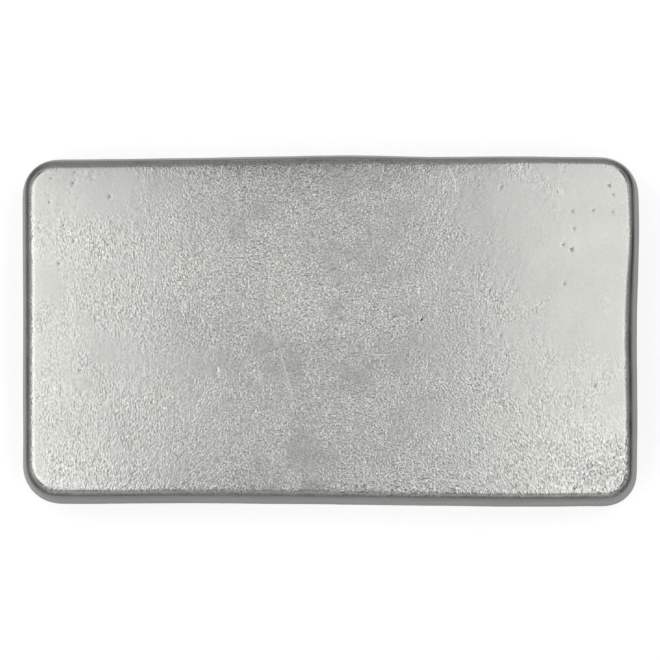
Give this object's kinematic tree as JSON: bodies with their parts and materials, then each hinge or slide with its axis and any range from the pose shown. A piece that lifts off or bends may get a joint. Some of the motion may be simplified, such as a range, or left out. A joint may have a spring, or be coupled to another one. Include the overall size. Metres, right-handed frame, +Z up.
{
  "type": "metal ingot",
  "caption": "Flat rectangular cast bar of silver-white metal with rounded corners, walls that taper towards the mould face, a round poured rim and a shallow shrinkage hollow beneath.",
  "frame": {"origin": "middle of the overall box, on the ground that the poured face rests on", "axes": "+X along the bar's length, +Y across its width, +Z up from the poured face to the mould face"},
  "size_m": [0.117, 0.0666, 0.0131],
  "materials": {
    "cast_metal": "satin"
  },
  "bodies": {
    "root": {"ingot": "cast_metal"}
  },
  "joints": []
}
